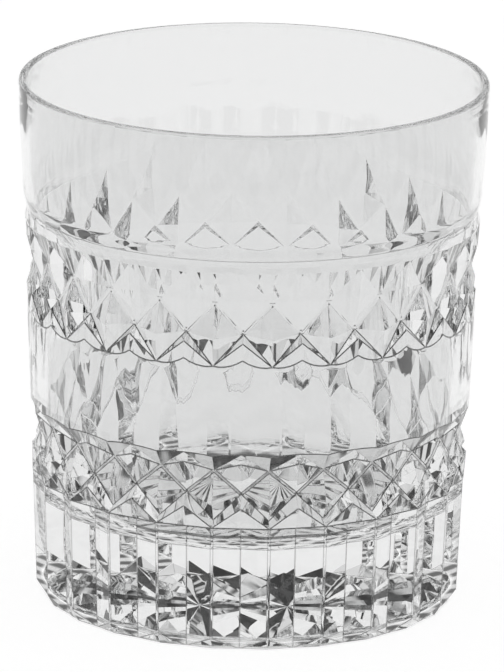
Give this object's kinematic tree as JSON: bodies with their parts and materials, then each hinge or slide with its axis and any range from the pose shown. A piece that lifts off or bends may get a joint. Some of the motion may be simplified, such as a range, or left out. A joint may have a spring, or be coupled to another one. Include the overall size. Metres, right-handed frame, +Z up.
{
  "type": "whiskey tumbler",
  "caption": "Cut-crystal whiskey tumbler: gently tapered clear glass with a plain rim band, two bands of cut diamonds, vertical flutes and a thick base.",
  "frame": {"origin": "on the glass's axis, in the plane its foot stands on", "axes": "+Z up along the glass's axis, out of its mouth; -Y is the front, where a flute's crest stands; +X is to the right seen from the front"},
  "size_m": [0.084, 0.084, 0.095],
  "materials": {
    "crystal": "clear, colourless, fire-polished crystal with polished cuts and softened arrises"
  },
  "bodies": {
    "root": {"glass_body": "crystal"}
  },
  "joints": []
}
